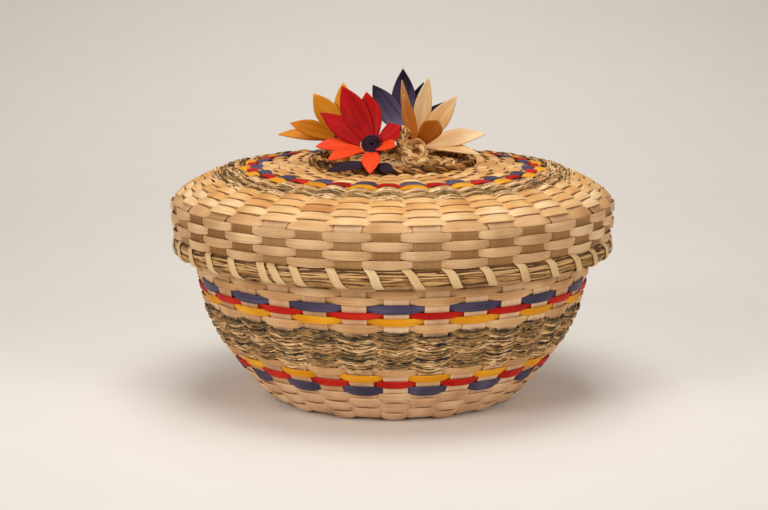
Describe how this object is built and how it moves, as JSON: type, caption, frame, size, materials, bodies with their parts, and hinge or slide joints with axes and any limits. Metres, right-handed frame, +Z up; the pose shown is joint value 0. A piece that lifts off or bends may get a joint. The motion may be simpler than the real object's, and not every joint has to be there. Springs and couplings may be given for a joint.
{
  "type": "covered splint basket",
  "caption": "Round covered basket woven of ash splint, with coloured and sweetgrass bands, a lift-off domed lid, a lashed rim and splint flowers on top.",
  "frame": {"origin": "centre of the bottom, on the surface that the basket stands on", "axes": "+Z up along the basket's axis, -Y towards the front that the picture shows"},
  "size_m": [0.2508, 0.2511, 0.1801],
  "materials": {
    "ash_natural": "bare splint, satin",
    "ash_golden": "bare splint, darker with age, satin",
    "ash_navy": "dyed splint, satin",
    "ash_red": "dyed splint, satin",
    "ash_yellow": "dyed splint, satin",
    "ash_ochre": "dyed splint, satin",
    "ash_purple": "dyed splint, satin",
    "sweetgrass": "dry grass, matt with a soft sheen"
  },
  "bodies": {
    "base": {"base_bottom_rounds": "ash_natural", "base_uprights": "ash_natural", "base_foot_row_1": "ash_natural", "base_foot_row_2": "ash_natural", "base_foot_row_3": "ash_natural", "base_foot_row_4": "ash_natural", "base_foot_row_5": "ash_natural", "base_lower_plain_row": "ash_natural", "base_middle_plain_row": "ash_natural", "base_upper_plain_row_1": "ash_natural", "base_upper_plain_row_2": "ash_natural", "base_upper_plain_row_3": "ash_natural", "base_neck_row_1": "ash_natural", "base_neck_row_2": "ash_natural", "base_outer_hoop": "ash_natural", "base_inner_hoop": "ash_natural", "base_rim_binding": "ash_natural", "base_lower_navy_row": "ash_navy", "base_upper_navy_row": "ash_navy", "base_lower_red_row": "ash_red", "base_upper_red_row": "ash_red", "base_lower_yellow_row": "ash_yellow", "base_upper_yellow_row": "ash_yellow", "base_sweetgrass_row_1": "sweetgrass", "base_sweetgrass_row_2": "sweetgrass", "base_sweetgrass_row_3": "sweetgrass", "base_sweetgrass_row_4": "sweetgrass"},
    "lid": {"lid_uprights": "ash_natural", "lid_side_row_1": "ash_natural", "lid_side_row_2": "ash_natural", "lid_side_row_3": "ash_natural", "lid_side_row_4": "ash_natural", "lid_centre_rounds": "ash_natural", "lid_inner_hoop": "ash_natural", "lid_rim_lashing": "ash_natural", "flower_natural_petals": "ash_natural", "lid_top_row_1": "ash_golden", "lid_top_row_2": "ash_golden", "lid_top_row_3": "ash_golden", "lid_top_row_4": "ash_golden", "lid_top_row_5": "ash_golden", "lid_top_row_6": "ash_golden", "lid_navy_row": "ash_navy", "flower_navy_petals": "ash_navy", "lid_red_row": "ash_red", "flower_red_petals": "ash_red", "lid_yellow_row": "ash_yellow", "flower_ochre_petals": "ash_ochre", "flower_red_centre": "ash_purple", "flower_ochre_centre": "ash_purple", "flower_navy_centre": "ash_purple", "flower_natural_centre": "ash_purple", "lid_sweetgrass_row_1": "sweetgrass", "lid_sweetgrass_row_2": "sweetgrass", "lid_rim_bundle": "sweetgrass", "lid_braid_ring": "sweetgrass", "lid_braid_knot": "sweetgrass"}
  },
  "joints": [
    {"name": "lid_lift", "type": "slide", "parent": "base", "child": "lid", "axis": [0, 0, 1], "range_m": [0, 0.15]}
  ]
}
